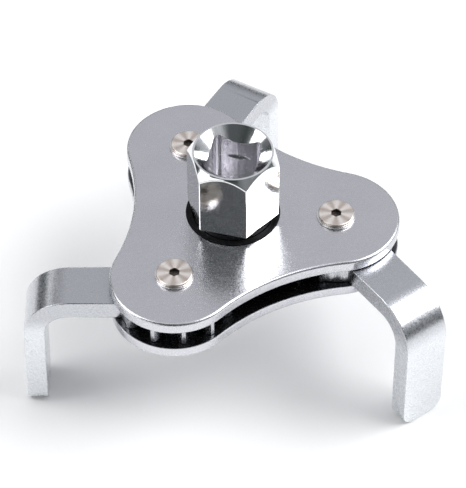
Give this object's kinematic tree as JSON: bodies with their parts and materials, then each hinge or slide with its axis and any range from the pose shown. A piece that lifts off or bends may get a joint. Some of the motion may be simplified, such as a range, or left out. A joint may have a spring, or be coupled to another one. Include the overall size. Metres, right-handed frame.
{
  "type": "three-jaw oil filter wrench",
  "caption": "Gear-driven oil filter wrench: a half-inch square drive in a hexagon turns bent legs that swing in or out together to grip a filter.",
  "frame": {"origin": "middle of the drive's lower end face, on the drive axis", "axes": "+Z along the drive axis from its lower end to the square socket, +X through the first jaw's pivot"},
  "size_m": [0.1087, 0.0999, 0.0644],
  "materials": {
    "plate_metal": "satin bright zinc plating",
    "drive_metal": "polished chrome plating",
    "jaw_metal": "bright nickel plating",
    "screw_metal": "turned warm nickel",
    "plain_steel": "machined steel",
    "spring_steel": "dark phosphated spring steel",
    "black_bush": "moulded black nylon"
  },
  "bodies": {
    "plates": {"top_plate": "plate_metal", "bottom_plate": "plate_metal", "top_bush": "black_bush", "bottom_bush": "black_bush", "pivot_post_1": "plain_steel", "pivot_post_2": "plain_steel", "pivot_post_3": "plain_steel", "pivot_screw_1": "screw_metal", "pivot_screw_2": "screw_metal", "pivot_screw_3": "screw_metal", "screw_washer_1": "screw_metal", "screw_washer_2": "screw_metal", "screw_washer_3": "screw_metal"},
    "drive": {"drive_hex": "drive_metal", "sun_gear": "plain_steel", "retaining_washer": "plain_steel", "circlip": "spring_steel"},
    "first_jaw": {"jaw_1": "jaw_metal"},
    "second_jaw": {"jaw_2": "jaw_metal"},
    "third_jaw": {"jaw_3": "jaw_metal"}
  },
  "joints": [
    {"name": "drive_turn", "type": "hinge", "parent": "plates", "child": "drive", "pos_m": [0, 0, 0], "axis": [0, 0, 1], "range_deg": [-161, 54]},
    {"name": "jaw_1_swing", "type": "hinge", "parent": "plates", "child": "first_jaw", "pos_m": [0.0265, 0, 0], "axis": [0, 0, 1], "range_deg": [-54, 161]},
    {"name": "jaw_2_swing", "type": "hinge", "parent": "plates", "child": "second_jaw", "pos_m": [-0.01325, 0.02295, 0], "axis": [0, 0, 1], "range_deg": [-54, 161]},
    {"name": "jaw_3_swing", "type": "hinge", "parent": "plates", "child": "third_jaw", "pos_m": [-0.01325, -0.02295, 0], "axis": [0, 0, 1], "range_deg": [-54, 161]}
  ],
  "couplings": [
    {"joint": "jaw_1_swing", "follows": "drive_turn", "ratio": -1},
    {"joint": "jaw_2_swing", "follows": "drive_turn", "ratio": -1},
    {"joint": "jaw_3_swing", "follows": "drive_turn", "ratio": -1}
  ]
}
